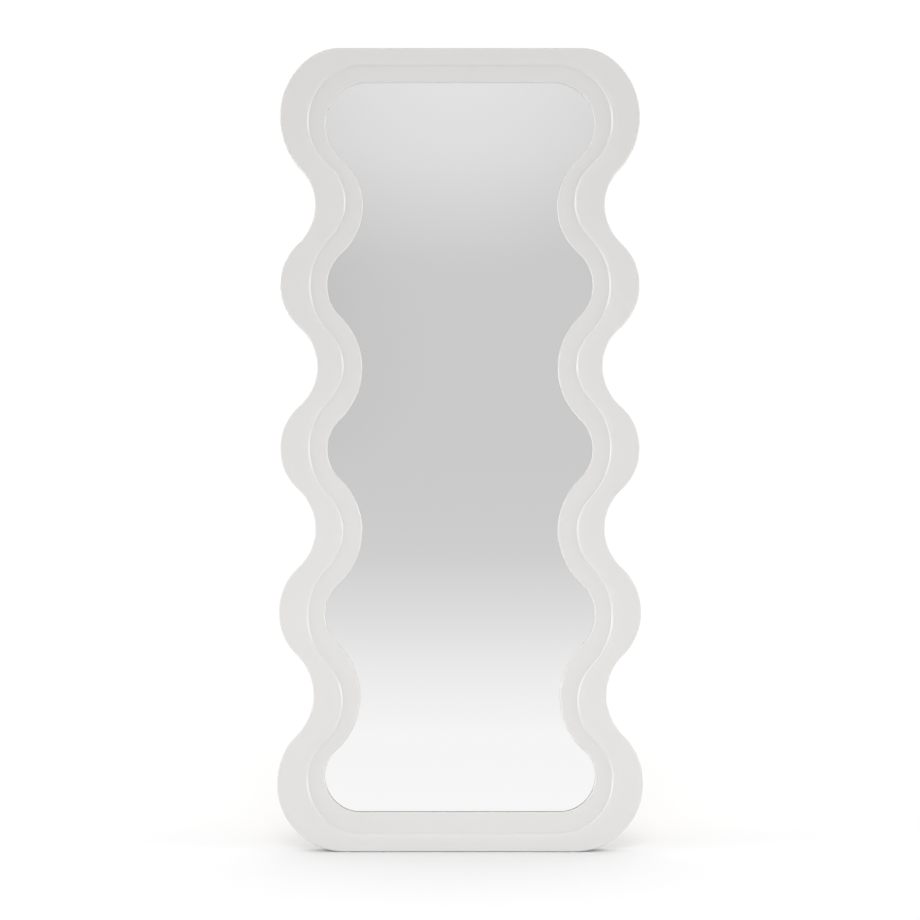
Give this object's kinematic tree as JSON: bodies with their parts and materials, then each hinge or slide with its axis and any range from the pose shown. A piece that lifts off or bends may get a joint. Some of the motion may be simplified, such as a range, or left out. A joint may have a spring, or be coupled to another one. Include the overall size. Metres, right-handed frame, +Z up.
{
  "type": "floor mirror",
  "caption": "Full-length floor mirror with wavy sides in a two-step satin frame, on a U-shaped tube stand that folds flat, with two D-ring hangers.",
  "frame": {"origin": "on the floor, under the middle of the box around the mirror and its open stand", "axes": "+Z up, the mirror faces -Y and leans back 8 degrees towards +Y, +X to the right as seen from the front"},
  "size_m": [0.8124, 0.3754, 1.7844],
  "materials": {
    "frame_lacquer": "pale warm grey-white satin lacquer on fibreboard",
    "mirror_glass": "clear float glass, silvered behind",
    "packing_foam": "white closed-cell foam sheet",
    "batten_wood": "planed softwood, unfinished",
    "cover_hardboard": "smooth brown hardboard",
    "screw_steel": "bright zinc plated",
    "plated_steel": "bright zinc plated pressed steel",
    "stand_coating": "warm off-white powder coat on steel tube",
    "nylon": "natural white nylon",
    "rubber": "matt black rubber"
  },
  "bodies": {
    "frame": {"outer_moulding": "frame_lacquer", "inner_moulding": "frame_lacquer", "rear_frame": "frame_lacquer", "mirror_glass": "mirror_glass", "packing_sheet": "packing_foam", "upper_batten": "batten_wood", "middle_batten": "batten_wood", "lower_batten": "batten_wood", "back_cover": "cover_hardboard", "cover_screw_01": "screw_steel", "cover_screw_02": "screw_steel", "cover_screw_03": "screw_steel", "cover_screw_04": "screw_steel", "cover_screw_05": "screw_steel", "cover_screw_06": "screw_steel", "cover_screw_07": "screw_steel", "cover_screw_08": "screw_steel", "cover_screw_09": "screw_steel", "cover_screw_10": "screw_steel", "cover_screw_11": "screw_steel", "cover_screw_12": "screw_steel", "cover_screw_13": "screw_steel", "cover_screw_14": "screw_steel", "bracket_screw_left_lower": "screw_steel", "bracket_screw_left_upper": "screw_steel", "bracket_screw_right_lower": "screw_steel", "bracket_screw_right_upper": "screw_steel", "hanger_screw_left_upper": "screw_steel", "hanger_screw_left_lower": "screw_steel", "hanger_screw_right_upper": "screw_steel", "hanger_screw_right_lower": "screw_steel", "cradle_screw": "screw_steel", "bracket_left": "plated_steel", "bracket_right": "plated_steel", "hinge_pin_left": "plated_steel", "hinge_pin_right": "plated_steel", "hanger_left": "plated_steel", "hanger_right": "plated_steel", "stand_cradle": "nylon", "base_pad_left": "rubber", "base_pad_right": "rubber"},
    "stand": {"stand_tube": "stand_coating", "tube_plug_left": "nylon", "tube_plug_right": "nylon", "stand_sleeve_left": "rubber", "stand_sleeve_right": "rubber"},
    "ring_left": {"hanger_ring_left": "plated_steel"},
    "ring_right": {"hanger_ring_right": "plated_steel"}
  },
  "joints": [
    {"name": "stand_fold", "type": "hinge", "parent": "frame", "child": "stand", "pos_m": [0, 0.0273, 1.13333], "axis": [-1, 0, 0], "range_deg": [0, 15.4]},
    {"name": "ring_swing_left", "type": "hinge", "parent": "frame", "child": "ring_left", "pos_m": [-0.276, 0.05815, 1.44406], "axis": [1, 0, 0], "range_deg": [-6, 165]},
    {"name": "ring_swing_right", "type": "hinge", "parent": "frame", "child": "ring_right", "pos_m": [0.276, 0.05815, 1.44406], "axis": [1, 0, 0], "range_deg": [-6, 165]}
  ]
}
